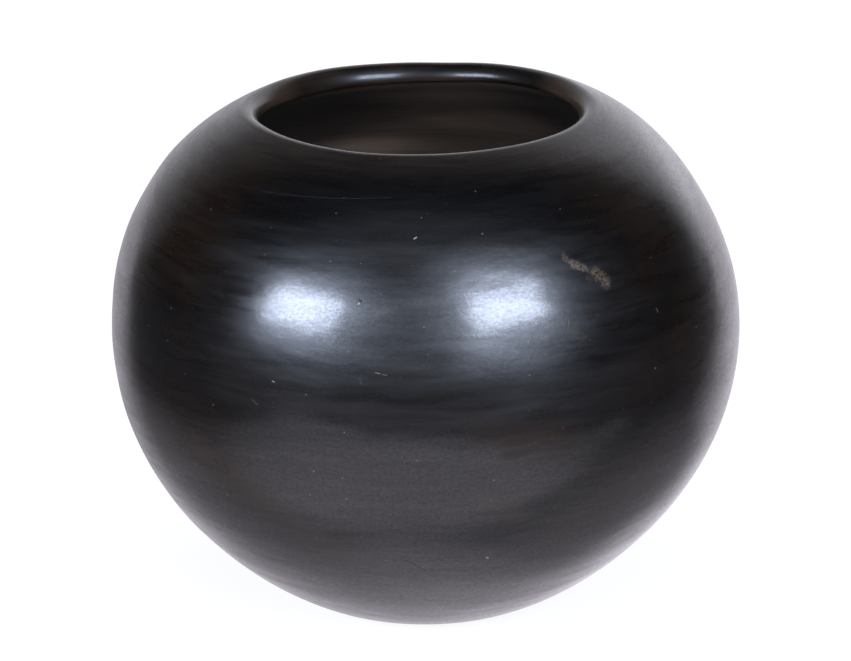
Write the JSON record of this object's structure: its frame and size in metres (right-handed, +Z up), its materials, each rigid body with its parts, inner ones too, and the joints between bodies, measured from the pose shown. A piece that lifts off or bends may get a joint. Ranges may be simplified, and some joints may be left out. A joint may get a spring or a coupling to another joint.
{
  "type": "blackware bowl",
  "caption": "Wide-bellied bowl of smoked black clay with a narrow round mouth, rolled lip and small flat base, hand-built from a dished base, lapped coils and a rim; holds dry goods.",
  "frame": {"origin": "centre of the flat face that the bowl rests on", "axes": "+Z up along the axis of the bowl, out of the mouth; the bowl is round, so +X and +Y are free"},
  "size_m": [0.165, 0.165, 0.1312],
  "materials": {
    "smoked_clay": "smoke-blackened fine clay, stone-burnished outside and over the lip, wiped and matt inside"
  },
  "bodies": {
    "root": {"base_dish": "smoked_clay", "wall_coil_1": "smoked_clay", "wall_coil_2": "smoked_clay", "wall_coil_3": "smoked_clay", "wall_coil_4": "smoked_clay", "wall_coil_5": "smoked_clay", "wall_coil_6": "smoked_clay", "wall_coil_7": "smoked_clay", "wall_coil_8": "smoked_clay", "rim_coil": "smoked_clay"}
  },
  "joints": []
}
